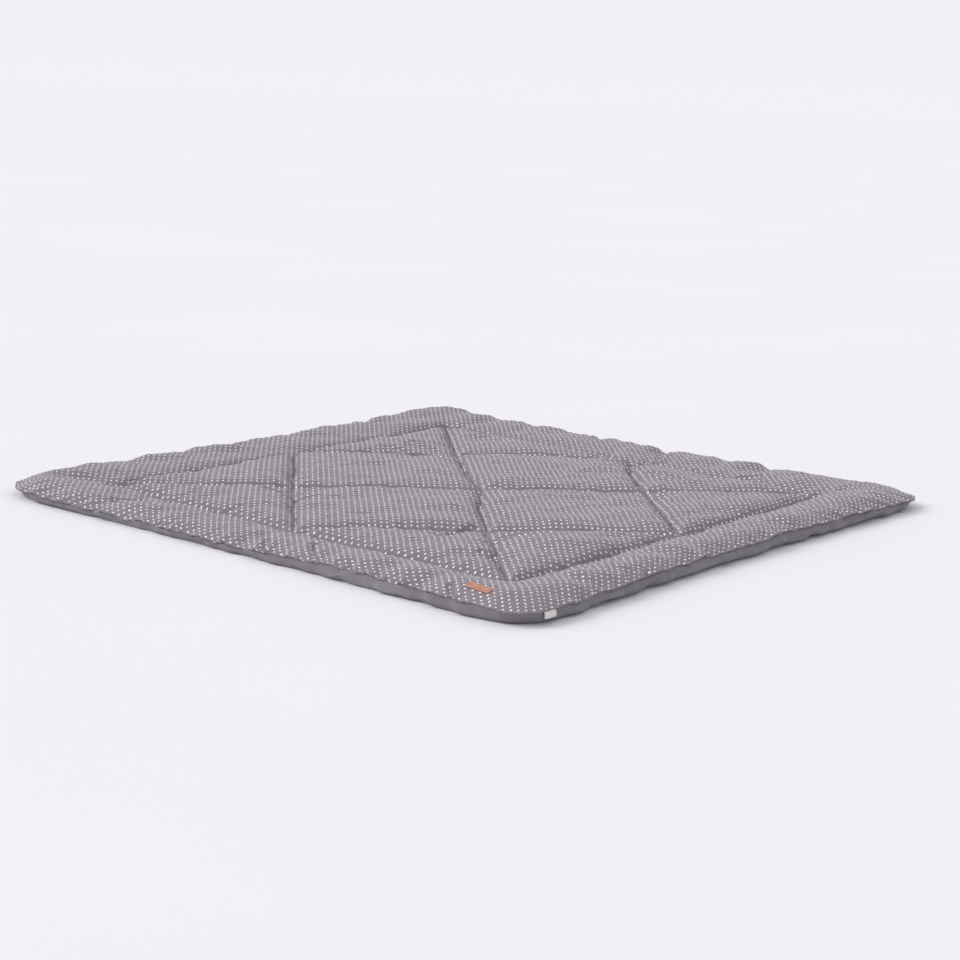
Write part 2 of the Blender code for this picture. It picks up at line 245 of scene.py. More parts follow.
def puff(distance, reach, power):
    """Share of its full height that a puff has at a distance from a seam: 1 - (1 - distance / reach)^power."""
    return 1 - (1 - np.clip(distance / reach, 0, 1)) ** power


def flat_lengths(half, height):
    """How far each ring lies from the middle of the flat cloth: the summed lengths along its profile."""
    return np.concatenate([[0], np.cumsum(np.hypot(np.diff(half), np.diff(height)))])


def solid_panel(name, u, v, x, y, z, facing_up):
    """One closed mesh from a ring grid: its squares, and one flat many-sided face across its last ring.
    The flat place of each point is kept as the UV map cloth, in metres."""
    number = np.arange(x.size).reshape(x.shape)
    squares = np.stack([number[:-1, :-1], number[1:, :-1], number[1:, 1:], number[:-1, 1:]], axis=-1)
    squares = squares.reshape(-1, 4)
    lid = np.concatenate([number[0, :-1], number[:-1, -1], number[-1, :0:-1], number[:0:-1, 0]])
    if not facing_up:
        squares, lid = squares[:, ::-1], lid[::-1]
    points = np.stack([x, y, z], axis=-1).reshape(-1, 3)
    mesh = bpy.data.meshes.new(name)
    mesh.from_pydata(points.tolist(), [], squares.tolist() + [lid.tolist()])
    corner_point = np.empty(len(mesh.loops), np.int32)
    mesh.loops.foreach_get("vertex_index", corner_point)
    flat = np.stack([u, v], axis=-1).reshape(-1, 2)
    mesh.uv_layers.new(name="cloth").data.foreach_set("uv", flat[corner_point].astype(np.float32).ravel())
    mesh.shade_smooth()
    mesh.set_sharp_from_angle(angle=math.radians(65))
    obj = bpy.data.objects.new(name, mesh)
    bpy.context.scene.collection.objects.link(obj)
    return obj


def back_profile():
    """Half size and height of the back's rings at a plain place: flat to the roll, a quarter ellipse up to
    the bulge, a bulged line up to the edge seam, and in to the ledge on the parting."""
    quilt = np.linspace(0, QUILT_HALF, BACK_QUILT_STEPS + 1)
    border = np.linspace(QUILT_HALF, HALF - BACK_ROLL_INSET, BACK_BORDER_STEPS + 1)[1:]
    turn = np.linspace(0, math.pi / 2, BACK_ROLL_STEPS + 1)[1:]
    roll = HALF - BACK_ROLL_INSET + (BACK_ROLL_INSET - BACK_BULGE_INSET) * np.sin(turn)
    up = np.linspace(0, 1, BACK_RIM_STEPS + 1)[1:]
    rim = HALF - BACK_BULGE_INSET - (EDGE_SEAM_INSET - BACK_BULGE_INSET) * up**3
    half = np.concatenate([quilt, border, roll, rim, [HALF - LEDGE_INSET]])
    floor_points = np.zeros(len(quilt) + len(border))
    roll_height = BACK_ROLL_HEIGHT * (1 - np.cos(turn))
    rim_height = BACK_ROLL_HEIGHT + (EDGE_SEAM - BACK_ROLL_HEIGHT) * up
    height = np.concatenate([floor_points, roll_height, rim_height, [PARTING]])
    return half, height


def back_panel():
    """The back's surface: flat on the floor with channels, slanting creases round its rim, a lower edge that
    here and there lifts off the floor, and tips that lift and are cut in below. The roll's quarter ellipse
    is scaled to the course's own inset and height, and the rim goes on from it up to the edge seam."""
    half, profile = back_profile()
    u, v, x, y, ring = square_rings(flat_lengths(half, profile), half)
    last = len(half) - 1
    rim_start = last - 1 - BACK_RIM_STEPS
    roll_start = rim_start - BACK_ROLL_STEPS
    up = np.clip((ring - rim_start) / BACK_RIM_STEPS, 0, 1)
    on_roll = np.clip((ring - roll_start) / BACK_ROLL_STEPS, 0, 1)
    low = smooth_step(ring, roll_start, rim_start - 2) * (1 - up) * (ring < last)
    seam = edge_seam_height(x, y) - PANEL_GAP / 2
    roll_height = rim(x, y, 7)
    rolled = roll_height * (1 - np.cos(on_roll * math.pi / 2))
    z = np.where(ring > rim_start, roll_height + (seam - roll_height) * up, rolled)

    calm = 1 - bell(np.hypot(x - TAG_AT, y + HALF), TAG_CALM)
    on_side = smooth_step(ring, roll_start, rim_start) * (1 - up**2) * (ring < last) * calm
    crease = ripple(x + BACK_CREASE_SLANT * z, y - BACK_CREASE_SLANT * z, BACK_CREASE_LENGTHS, 0, math.pi, seed=3)
    crease = BACK_CREASE * crease * on_side
    roll_gain = (BACK_ROLL_INSET - rim(x, y, 6)) * (1 - np.sin(on_roll * math.pi / 2)) * (ring > roll_start)
    seam_gain = (EDGE_SEAM_INSET - rim(x, y, 2)) * up**2 * (ring < last)
    undercut = -TIP_UNDERCUT * tip_nearness(x, y, TIP_LIFT_SPREAD) * low
    drawn_x, drawn_y = draw_sides_in(x, y)
    out_x, out_y = outward(x, y)
    out = crease + undercut + roll_gain + seam_gain
    place_x, place_y = drawn_x + out_x * out, drawn_y + out_y * out

    channel = BACK_CHANNEL * (1 - puff(seam_distance(x, y), BACK_REACH, 2.0))
    lift = BACK_LIFT * np.maximum(ripple(x, y, BACK_LIFT_LENGTHS, 0, math.pi, seed=4), 0) * low
    lift += at_tip(x, y, 2) * tip_nearness(x, y, TIP_LIFT_SPREAD) * (1 - up) * (ring < last)
    z = np.where(ring <= roll_start, channel, z) + lift
    z = np.where(ring == last, PARTING - PANEL_GAP / 2, z)
    return solid_panel("back_panel_cloth", u, v, place_x, place_y, z, facing_up=False)


def put(tree, kind, inputs=(), **settings):
    """Adds a shader node to a tree, sets its properties, and fills its inputs: an output socket is linked
    to the input, and anything else is set on it."""
    made = tree.nodes.new(kind)
    for name, value in settings.items():
        setattr(made, name, value)
    for name, value in dict(inputs).items():
        if isinstance(value, bpy.types.NodeSocket):
            tree.links.new(value, made.inputs[name])
        else:
            made.inputs[name].default_value = value
    return made


def maths(tree, operation, first, second=0.0, third=0.0):
    """One Math node: its output for two or three inputs, each a socket or a number."""
    return put(tree, "ShaderNodeMath", {0: first, 1: second, 2: third}, operation=operation).outputs[0]


def mixed(tree, share, first, second):
    """Colour between two colours, each a socket or a triple, by a share."""
    ends = [end if isinstance(end, bpy.types.NodeSocket) else (*end, 1.0) for end in (first, second)]
    return put(tree, "ShaderNodeMix", {0: share, 6: ends[0], 7: ends[1]}, data_type="RGBA").outputs[2]


def new_group(name, inputs, outputs):
    """An empty node group with its inputs, given as (name, kind, value), and its named outputs."""
    group = bpy.data.node_groups.new(name, "ShaderNodeTree")
    for label, kind, value in inputs:
        socket = group.interface.new_socket(label, in_out="INPUT", socket_type=kind)
        if value is not None:
            socket.default_value = value
    for label in outputs:
        group.interface.new_socket(label, in_out="OUTPUT", socket_type="NodeSocketFloat")
    return group, group.nodes.new("NodeGroupInput"), group.nodes.new("NodeGroupOutput")


def weave_group():
    """Plain weave: threads cross at a pitch, so the height is half the product of a sine along each way of
    the cloth plus a half, uneven by thread noise stretched along each way. Slub is that unevenness alone."""
    group, given, out = new_group(
        "plain weave",
        [("Cloth", "NodeSocketVector", None), ("Threads per metre", "NodeSocketFloat", 1800.0)],
        ["Height", "Slub"],
    )
    cloth = given.outputs["Cloth"]
    way = put(group, "ShaderNodeSeparateXYZ", {0: cloth})
    turns = maths(group, "MULTIPLY", given.outputs["Threads per metre"], math.pi)
    warp = maths(group, "SINE", maths(group, "MULTIPLY", way.outputs["X"], turns))
    weft = maths(group, "SINE", maths(group, "MULTIPLY", way.outputs["Y"], turns))
    crossing = maths(group, "MULTIPLY_ADD", maths(group, "MULTIPLY", warp, weft), 0.5, 0.5)
    slubs = []
    for stretch in ((90.0, 900.0, 1.0), (900.0, 90.0, 1.0)):
        spread = put(group, "ShaderNodeVectorMath", {0: cloth, 1: stretch}, operation="MULTIPLY")
        noise = put(group, "ShaderNodeTexNoise", {"Vector": spread.outputs[0], "Scale": 1.0, "Detail": 2.0})
        slubs.append(noise.outputs["Fac"])
    slub = maths(group, "MULTIPLY", maths(group, "ADD", *slubs), 0.5)
    height = maths(group, "MULTIPLY_ADD", slub, 0.6, maths(group, "MULTIPLY", crossing, 0.4))
    group.links.new(height, out.inputs["Height"])
    group.links.new(slub, out.inputs["Slub"])
    return group


def drift_group():
    """Slow drift of a dye over the cloth: soft noise of a given size, spread to run from 0 to 1."""
    group, given, out = new_group(
        "dye drift",
        [("Cloth", "NodeSocketVector", None), ("Patches per metre", "NodeSocketFloat", 6.0)],
        ["Drift"],
    )
    noise = put(group, "ShaderNodeTexNoise", {
        "Vector": given.outputs["Cloth"], "Scale": given.outputs["Patches per metre"], "Detail": 3.0})
    spread = put(group, "ShaderNodeMapRange", {
        "Value": noise.outputs["Fac"], "From Min": 0.34, "From Max": 0.66})
    group.links.new(spread.outputs["Result"], out.inputs["Drift"])
    return group


weave = weave_group()
drift = drift_group()


def cloth_material(name, roughness, sheen, bump):
    """A matt cloth material: its node tree, its shader with the weave as bump, the cloth's place in metres
    and the weave's node. The caller makes the colour."""
    made = bpy.data.materials.new(name)
    made.use_nodes = True
    tree = made.node_tree
    shader = tree.nodes["Principled BSDF"]
    shader.inputs["Roughness"].default_value = roughness
    shader.inputs["Sheen Weight"].default_value = sheen
    shader.inputs["Sheen Roughness"].default_value = 0.5
    shader.inputs["Specular IOR Level"].default_value = 0.25
    cloth = put(tree, "ShaderNodeUVMap", uv_map="cloth").outputs["UV"]
    threads = put(tree, "ShaderNodeGroup", {}, node_tree=weave)
    tree.links.new(cloth, threads.inputs["Cloth"])
    raised = put(tree, "ShaderNodeBump", {
        "Height": threads.outputs["Height"], "Strength": bump, "Distance": 0.0004})
    tree.links.new(raised.outputs["Normal"], shader.inputs["Normal"])
    return made, tree, shader, cloth, threads


def plain_cotton():
    """Grey cotton whose dye drifts a little to mauve, darker between its threads."""
    made, tree, shader, cloth, threads = cloth_material("plain_cotton_cloth", 0.88, 0.15, 0.5)
    slow = put(tree, "ShaderNodeGroup", {"Cloth": cloth, "Patches per metre": 4.0}, node_tree=drift)
    ground = mixed(tree, slow.outputs["Drift"], PLAIN_GREY, PLAIN_MAUVE)
    between = maths(tree, "MULTIPLY", threads.outputs["Slub"], 0.35)
    tree.links.new(mixed(tree, between, ground, PLAIN_DARK), shader.inputs["Base Color"])
    return made


back = back_panel()
back.data.materials.append(plain_cotton())
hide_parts("back_panel")
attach(back, "root")

# Top panel and wadding
# One square of mauve-grey cotton, printed with small white dots, over polyester wadding. The quilting holds
# it down in channels and it stands in puffs between them. Its border is a soft roll that falls to the edge
# seam, and the cloth gathers in small creases along every seam.
INNER_CREST = 0.0300
SIDE_CREST = 0.0285
CHANNEL_TOP = 0.0095

# How the puffs climb from their seams: a steep part beside the stitches and a soft part to the middle, which
# on the border ends in a gentler power
STEEP_SHARE, STEEP_REACH = 0.62, 0.0085
TOP_REACH, TOP_POWER = 0.105, 2.2
BORDER_REACH, BORDER_POWER = 0.095, 1.40
CREST_DRIFT, CREST_DRIFT_LENGTHS = 0.0016, (0.15, 0.35)

# The grid, and how the border stands at the edge
TOP_QUILT_STEPS, TOP_BORDER_STEPS, TOP_SHOULDER_STEPS, TOP_TUCK_STEPS = 112, 26, 12, 2
SHOULDER_INSET, EDGE_STANDS = 0.040, 0.0018
SIDE_FALL = 0.032
PLEAT_REACH = 0.100
TIP_CALM, TIP_CALM_SPREAD = 0.7, 0.080

# How the sewn lines wander. Columns: place x, y, shift x, y, radius
SEAM_SHIFTS = [(0.000, 0.000, 0.010, -0.010, 0.110), (0.450, 0.000, 0.000, -0.038, 0.080)]
SEAM_WANDER, SEAM_WANDER_LENGTHS = 0.0024, (0.07, 0.26)

# Soft waves over the puffs, lying along the quilt's x = -y diagonal, fine crumpling all over, and the small
# creases that stand square to the seams and to the edge, with how far they reach
WAVE, WAVE_LENGTHS, WAVE_HEADING, WAVE_SPREAD = 0.0015, (0.045, 0.150), math.radians(-50), 0.60
CRUMPLE, CRUMPLE_LENGTHS = 0.00045, (0.018, 0.045)
PUCKER, PUCKER_LENGTHS, PUCKER_REACH, PUCKER_START = 0.0016, (0.016, 0.050), 0.022, 0.004
EDGE_PUCKER, EDGE_PUCKER_LENGTHS, EDGE_PUCKER_REACH = 0.0016, (0.014, 0.050), 0.030
# The cloth is drawn smooth under the label
LABEL_PLACE, LABEL_CALM = (-0.568, -0.491), 0.030

# Folds in the top. Columns: start x, y, end x, y, depth, half width
FOLDS = [
    (-0.320, -0.205, -0.225, -0.195, 0.0050, 0.020),
    (0.110, 0.268, 0.215, 0.275, 0.0040, 0.020),
    (0.455, -0.035, 0.575, -0.043, 0.0070, 0.022),
    (-0.455, 0.455, -0.500, 0.530, 0.0060, 0.022),
    (-0.510, 0.285, -0.575, 0.330, 0.0040, 0.022),
    (-0.455, -0.010, -0.570, -0.020, 0.0040, 0.022),
    (-0.020, -0.455, 0.010, -0.560, 0.0040, 0.022),
    (0.020, 0.455, 0.025, 0.560, 0.0035, 0.022),
    (-0.290, 0.120, -0.240, 0.060, 0.0030, 0.022),
    (0.060, -0.230, 0.150, -0.210, 0.0035, 0.022),
]
# Sharp creases in the top, likewise
CREASES = [
    (-0.294, -0.200, -0.225, -0.195, 0.0055, 0.006),
    (0.207, 0.344, 0.256, 0.331, 0.0045, 0.007),
    (0.157, 0.350, 0.173, 0.186, 0.0035, 0.008),
    (0.370, -0.082, 0.536, -0.052, 0.0055, 0.008),
    (-0.365, -0.330, -0.355, -0.348, 0.0040, 0.006),
    (-0.257, -0.276, -0.213, -0.334, 0.0040, 0.008),
    (-0.592, -0.074, -0.566, -0.057, 0.0045, 0.005),
    (-0.582, -0.171, -0.544, -0.138, 0.0045, 0.005),
    (-0.554, 0.324, -0.518, 0.303, 0.0045, 0.007),
    (0.342, -0.157, 0.344, -0.244, 0.0045, 0.009),
    (0.390, -0.247, 0.489, -0.307, 0.0035, 0.009),
    (-0.592, -0.460, -0.578, -0.446, 0.0050, 0.005),
    (-0.291, 0.226, -0.290, 0.169, 0.0055, 0.006),
    (-0.463, 0.173, -0.421, 0.157, 0.0030, 0.007),
]

# Print: dots on a square grid turned 45 degrees to the mat's edges, and the cloth's two grounds
DOTS_PER_METRE = 100.0
DOT_RADIUS = 0.168
DOT_EDGE = 0.035
PRINTED_MAUVE, PRINTED_GREY, PRINTED_DARK = (0.262, 0.216, 0.250), (0.230, 0.214, 0.234), (0.158, 0.140, 0.154)
DOT_WHITE = (0.920, 0.900, 0.925)


def border_crest(x, y):
    """Height of the border's crest: its course round the rim, less the pleats."""
    pleats_x, pleats_y = side_pleats(x, y)
    near_x = smooth_step(abs(x), QUILT_HALF, QUILT_HALF + PLEAT_REACH)
    near_y = smooth_step(abs(y), QUILT_HALF, QUILT_HALF + PLEAT_REACH)
    return rim(x, y, 3) - np.maximum(pleats_x * near_x, pleats_y * near_y)


def line_distance(x, y, x0, y0, x1, y1):
    """Distance to a straight stretch between two places."""
    run_x, run_y = x1 - x0, y1 - y0
    share = np.clip(((x - x0) * run_x + (y - y0) * run_y) / (run_x**2 + run_y**2), 0, 1)
    return np.hypot(x - x0 - share * run_x, y - y0 - share * run_y)


def fold_depth(x, y):
    """Depth of the folds: the deepest of the troughs, each a bell curve across its line."""
    troughs = [deep * bell(line_distance(x, y, *ends), wide) for *ends, deep, wide in FOLDS]
    return np.max(troughs, axis=0)


def crease_depth(x, y):
    """Depth of the sharp creases: each a bell across its line, with a lip half as high on the slopes beside."""
    depth = np.zeros(x.shape)
    for *ends, deep, wide in CREASES:
        away = line_distance(x, y, *ends)
        depth += deep * (bell(away, wide) - 0.45 * bell(away - 2.2 * wide, wide))
    return depth


def seam_shift(x, y):
    """How far the sewn lines have moved in plan: a bell round each marked place, and a slow wander."""
    moved_x = SEAM_WANDER * ripple(x, y, SEAM_WANDER_LENGTHS, 0, math.pi, seed=11)
    moved_y = SEAM_WANDER * ripple(x, y, SEAM_WANDER_LENGTHS, 0, math.pi, seed=12)
    for place_x, place_y, shift_x, shift_y, radius in SEAM_SHIFTS:
        near = bell(np.hypot(x - place_x, y - place_y), radius)
        moved_x, moved_y = moved_x + shift_x * near, moved_y + shift_y * near
    fade = 1 - smooth_step(np.maximum(abs(x), abs(y)), QUILT_HALF, HALF - SHOULDER_INSET)
    return moved_x * fade, moved_y * fade


def pucker(along, away, seed):
    """Creases that stand square to a seam: an uneven wave along it, nothing on the seam itself, strongest a
    few millimetres off, and fading by the reach."""
    wave = ripple(along, np.zeros(along.shape), PUCKER_LENGTHS, math.pi / 2, 0, seed)
    return wave * away / (away + PUCKER_START) * np.exp(-away / PUCKER_REACH)


def seam_puckers(x, y):
    """The small creases of all the quilting: along the square seam, the diagonals and the diamond. Each side
    and quarter reads its own stretch of the wave."""
    a, b = abs(x), abs(y)
    side = np.where(a > b, np.sign(x), 2 * np.sign(y))
    quarter = np.sign(x) + 2 * np.sign(y)
    inside = np.maximum(a, b) < QUILT_HALF
    square = pucker(np.where(a > b, y, x) + side, abs(QUILT_HALF - np.maximum(a, b)), 21)
    rising = pucker((x + y) / math.sqrt(2), abs(x - y) / math.sqrt(2), 22)
    falling = pucker((x - y) / math.sqrt(2), abs(x + y) / math.sqrt(2), 23)
    diamond = pucker((a - b) / math.sqrt(2) + quarter, abs(a + b - QUILT_HALF) / math.sqrt(2), 24)
    return square + inside * (rising + falling + diamond)


def steep_puff(distance, share, reach, power):
    """Share of its height that a puff has at a distance from a seam: a part that climbs steeply beside the
    stitches by 1 - exp(-distance / steep reach), and a part that goes on rising softly to its reach."""
    steep = 1 - np.exp(-distance / STEEP_REACH)
    return share * steep + (1 - share) * puff(distance, reach, power)


def top_profile():
    """Half size of the top's rings: even steps to the shoulder, closer ones down it to the widest place,
    the tuck as a quarter circle in to the edge seam, and the ledge."""
    quilt = np.linspace(0, QUILT_HALF, TOP_QUILT_STEPS + 1)
    border = np.linspace(QUILT_HALF, HALF - SHOULDER_INSET, TOP_BORDER_STEPS + 1)[1:]
    down = np.linspace(0, 1, TOP_SHOULDER_STEPS + 1)[1:]
    shoulder = HALF - SHOULDER_INSET * (1 - down) ** 1.4
    turn = np.linspace(0, math.pi / 2, TOP_TUCK_STEPS + 1)[1:]
    tuck = HALF - EDGE_SEAM_INSET * (1 - np.cos(turn))
    return np.concatenate([quilt, border, shoulder, tuck, [HALF - LEDGE_INSET]])


def border_height(inset, crest, seam, fall_width, steepness):
    """Height of the border at an inset from the edge: from just above the edge seam up to the crest by a
    quarter sine over the fall's width, all drawn down towards the square seam on its inner side."""
    level = seam + EDGE_STANDS
    fall = np.sin(math.pi / 2 * np.clip(inset / fall_width, 0, 1))
    full = level + (crest - level) * fall
    climb = steep_puff(np.maximum(BORDER - inset, 0), steepness, BORDER_REACH, BORDER_POWER)
    return CHANNEL_TOP + (full - CHANNEL_TOP) * climb


def top_panel():
    """The top's surface: puffs between the channels, the border's roll and shoulder, and all its folds,
    waves and creases."""
    half = top_profile()
    last = len(half) - 1
    widest = last - 1 - TOP_TUCK_STEPS
    inset = np.maximum(HALF - half, 0)
    plain = border_height(inset, SIDE_CREST, EDGE_SEAM, SIDE_FALL, 0)
    plain = np.where(half <= QUILT_HALF, CHANNEL_TOP, np.where(np.arange(last + 1) > widest, EDGE_SEAM, plain))
    cloth = flat_lengths(half, plain)
    u, v, x, y, ring = square_rings(cloth, half)

    seam = edge_seam_height(x, y) + PANEL_GAP / 2
    away = seam_distance(x, y)
    crest = INNER_CREST + CREST_DRIFT * ripple(x, y, CREST_DRIFT_LENGTHS, 0, math.pi, seed=7)
    inner = CHANNEL_TOP + (crest - CHANNEL_TOP) * steep_puff(away, STEEP_SHARE, TOP_REACH, TOP_POWER)
    rolled = border_height(inset[ring], border_crest(x, y), seam, rim(x, y, 4), rim(x, y, 5))
    z = np.where(ring <= TOP_QUILT_STEPS, inner, rolled)

    edge_x = u / cloth[ring].clip(1e-9) * HALF
    edge_y = v / cloth[ring].clip(1e-9) * HALF
    calm = 1 - bell(np.hypot(x - LABEL_PLACE[0], y - LABEL_PLACE[1]), LABEL_CALM)
    calm *= 1 - TIP_CALM * tip_nearness(x, y, TIP_CALM_SPREAD)
    gather = ripple(edge_x, edge_y, EDGE_PUCKER_LENGTHS, 0, math.pi, seed=6)
    gather *= EDGE_PUCKER * np.exp(-inset[ring] / EDGE_PUCKER_REACH) * (ring > TOP_QUILT_STEPS) * calm
    soft = puff(away, 0.05, 1.5) * smooth_step(inset[ring], 0, SHOULDER_INSET)
    relief = WAVE * ripple(x, y, WAVE_LENGTHS, WAVE_HEADING, WAVE_SPREAD, seed=5) * soft
    relief += CRUMPLE * ripple(x, y, CRUMPLE_LENGTHS, 0, math.pi, seed=8) * puff(away, 0.03, 1.5)
    relief += PUCKER * seam_puckers(x, y) * smooth_step(inset[ring], 0, SHOULDER_INSET)
    z = np.maximum(z - fold_depth(x, y), CHANNEL_TOP) + relief * calm - crease_depth(x, y) + gather

    drawn_x, drawn_y = draw_sides_in(x, y)
    out_x, out_y = outward(x, y)
    tuck = np.clip((ring - widest) / TOP_TUCK_STEPS, 0, 1)
    down = smooth_step(SHOULDER_INSET - inset[ring], 0, SHOULDER_INSET)
    proud = gather * down * (1 - tuck) + (EDGE_SEAM_INSET - rim(x, y, 2)) * down * (ring < last)
    z = np.where(ring > widest, z - (z - seam) * np.sin(tuck * math.pi / 2), z)
    z = np.where(ring == last, PARTING + PANEL_GAP / 2, z)
    shift_x, shift_y = seam_shift(x, y)
    place_x, place_y = drawn_x + shift_x + out_x * proud, drawn_y + shift_y + out_y * proud
    return solid_panel("top_panel_cloth", u + shift_x, v + shift_y, place_x, place_y, z, facing_up=True)


def printed_cotton():
    """Mauve-grey cotton with its dots. The cloth's place is turned 45 degrees and cut into cells; in each,
    the distance to a slightly shifted centre, less a slightly uneven radius, gives the dot's mask."""
    made, tree, shader, cloth, threads = cloth_material("printed_cotton_cloth", 0.86, 0.20, 0.45)
    turned = put(tree, "ShaderNodeMapping", {
        "Vector": cloth, "Rotation": (0, 0, math.pi / 4), "Scale": (DOTS_PER_METRE, DOTS_PER_METRE, 1.0)})
    cell = put(tree, "ShaderNodeVectorMath", {0: turned.outputs[0]}, operation="FLOOR").outputs[0]
    within = put(tree, "ShaderNodeVectorMath", {0: turned.outputs[0]}, operation="FRACTION").outputs[0]
    chance = put(tree, "ShaderNodeTexWhiteNoise", {"Vector": cell}, noise_dimensions="2D")
    nudge = put(tree, "ShaderNodeVectorMath", {
        0: chance.outputs["Color"], 1: (0.08, 0.08, 0.0), 2: (0.46, 0.46, 0.0)}, operation="MULTIPLY_ADD")
    reach = put(tree, "ShaderNodeVectorMath", {0: within, 1: nudge.outputs[0]}, operation="DISTANCE")
    radius = maths(tree, "MULTIPLY_ADD", chance.outputs["Value"], 0.03, DOT_RADIUS - 0.015)
    ragged = maths(tree, "MULTIPLY_ADD", threads.outputs["Slub"], 0.05, reach.outputs["Value"])
    beyond = maths(tree, "SUBTRACT", ragged, maths(tree, "ADD", radius, 0.025))
    dot = put(tree, "ShaderNodeMapRange", {
        "Value": beyond, "From Min": -DOT_EDGE, "From Max": DOT_EDGE, "To Min": 1.0, "To Max": 0.0},
        interpolation_type="SMOOTHSTEP").outputs["Result"]
    inked = maths(tree, "MULTIPLY", dot, maths(tree, "MULTIPLY_ADD", chance.outputs["Value"], 0.15, 0.85))

    slow = put(tree, "ShaderNodeGroup", {"Cloth": cloth, "Patches per metre": 7.0}, node_tree=drift)
    quick = put(tree, "ShaderNodeGroup", {"Cloth": cloth, "Patches per metre": 160.0}, node_tree=drift)
    ground = mixed(tree, slow.outputs["Drift"], PRINTED_MAUVE, PRINTED_GREY)
    worn = maths(tree, "MULTIPLY_ADD", quick.outputs["Drift"], 0.16,
                 maths(tree, "MULTIPLY", threads.outputs["Slub"], 0.25))
    ground = mixed(tree, worn, ground, PRINTED_DARK)
    tree.links.new(mixed(tree, inked, ground, DOT_WHITE), shader.inputs["Base Color"])
    tree.links.new(maths(tree, "MULTIPLY_ADD", inked, -0.14, 0.88), shader.inputs["Roughness"])
    return made


top = top_panel()
top.data.materials.append(printed_cotton())
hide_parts("top_panel")
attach(top, "root")

# Quilting thread
# Grey polyester thread, lockstitched down through the top, the wadding and the back. The stitches lie sunk
# in the bottoms of the channels, end to end along the square seam, the diagonals and the diamond.
STITCH_PITCH = 0.0042
STITCH_LENGTH = 0.0034
STITCH_RADIUS = 0.00045
STITCH_SINK = 0.00015
STITCH_SIDES, STITCH_RINGS = 6, 5
CORNERS = [(-QUILT_HALF, -QUILT_HALF), (QUILT_HALF, -QUILT_HALF), (QUILT_HALF, QUILT_HALF),
           (-QUILT_HALF, QUILT_HALF)]
MIDDLES = [(0, -QUILT_HALF), (QUILT_HALF, 0), (0, QUILT_HALF), (-QUILT_HALF, 0)]
THREAD_GREY = (0.230, 0.215, 0.230)


def loop_lines(points):
    """The sides of a closed outline, as pairs of ends."""
    return list(zip(points, points[1:] + points[:1]))


def stitch_ends(lines):
    """Both ends of every stitch on the straight lines, one each pitch, moved as the seams have moved."""
    starts, ends = [], []
    for (x0, y0), (x1, y1) in lines:
        length = math.hypot(x1 - x0, y1 - y0)
        count = round(length / STITCH_PITCH)
        first = (np.arange(count) + 0.5) / count
        reach = STITCH_LENGTH / length / 2
        for share, found in ((first - reach, starts), (first + reach, ends)):
            x, y = x0 + (x1 - x0) * share, y0 + (y1 - y0) * share
            shift_x, shift_y = seam_shift(x, y)
            height = CHANNEL_TOP - crease_depth(x, y) - STITCH_SINK + STITCH_RADIUS / 2
            found.append(np.stack([x + shift_x, y + shift_y, height], axis=-1))
    return np.concatenate(starts), np.concatenate(ends)


def stitches(name, starts, ends, radius):
    """Stitches as one mesh. Each is a round rod along its own line whose radius follows a half circle to the
    power of a half, so that its ends close in points."""
    along = ends - starts
    way = along / np.linalg.norm(along, axis=1)[:, None]
    across = np.cross(way, [0.0, 0.0, 1.0])
    across /= np.linalg.norm(across, axis=1)[:, None]
    above = np.cross(across, way)
    share = np.linspace(0, 1, STITCH_RINGS + 2)[1:-1]
    swell = radius * (1 - (2 * share - 1) ** 2) ** 0.25
    turn = np.arange(STITCH_SIDES) * math.tau / STITCH_SIDES
    middle = starts[:, None, None] + along[:, None, None] * share[:, None, None]
    round_it = (across[:, None, None] * np.cos(turn)[:, None] + above[:, None, None] * np.sin(turn)[:, None])
    rod = (middle + round_it * swell[:, None, None]).reshape(len(starts), -1, 3)
    points = np.concatenate([rod, starts[:, None], ends[:, None]], axis=1)

    number = np.arange(STITCH_RINGS * STITCH_SIDES).reshape(STITCH_RINGS, STITCH_SIDES)
    beside = np.roll(number, -1, axis=1)
    sides = np.stack([number[:-1], beside[:-1], beside[1:], number[1:]], axis=-1).reshape(-1, 4)
    first_tip = np.stack([beside[0], number[0], np.full(STITCH_SIDES, number.size)], axis=-1)
    last_tip = np.stack([number[-1], beside[-1], np.full(STITCH_SIDES, number.size + 1)], axis=-1)
    tips = np.concatenate([first_tip, last_tip])
    base = np.arange(len(starts))[:, None, None] * points.shape[1]
    faces = (sides + base).reshape(-1, 4).tolist() + (tips + base).reshape(-1, 3).tolist()
    mesh = bpy.data.meshes.new(name)
    mesh.from_pydata(points.reshape(-1, 3).tolist(), [], faces)
    mesh.shade_smooth()
    obj = bpy.data.objects.new(name, mesh)
    bpy.context.scene.collection.objects.link(obj)
    return obj


def thread_material(name, colour, groove_shade):
    """Matt twisted thread: a fine wave along the diagonal of its place raises it, and its colour is darkened
    in the wave's troughs as painted shade between the strands."""
    made = bpy.data.materials.new(name)
    made.use_nodes = True
    tree = made.node_tree
    shader = tree.nodes["Principled BSDF"]
    place = put(tree, "ShaderNodeTexCoord").outputs["Object"]
    twist = put(tree, "ShaderNodeTexWave", {
        "Vector": place, "Scale": 500.0, "Distortion": 1.0, "Detail": 1.0}, bands_direction="DIAGONAL")
    # Painted shade: the colour goes to the darker one in the troughs of the twist, between the strands
    tree.links.new(mixed(tree, twist.outputs["Fac"], groove_shade, colour), shader.inputs["Base Color"])
    raised = put(tree, "ShaderNodeBump", {
        "Height": twist.outputs["Fac"], "Strength": 0.5, "Distance": 0.0001})
    tree.links.new(raised.outputs["Normal"], shader.inputs["Normal"])
    shader.inputs["Roughness"].default_value = 0.7
    return made


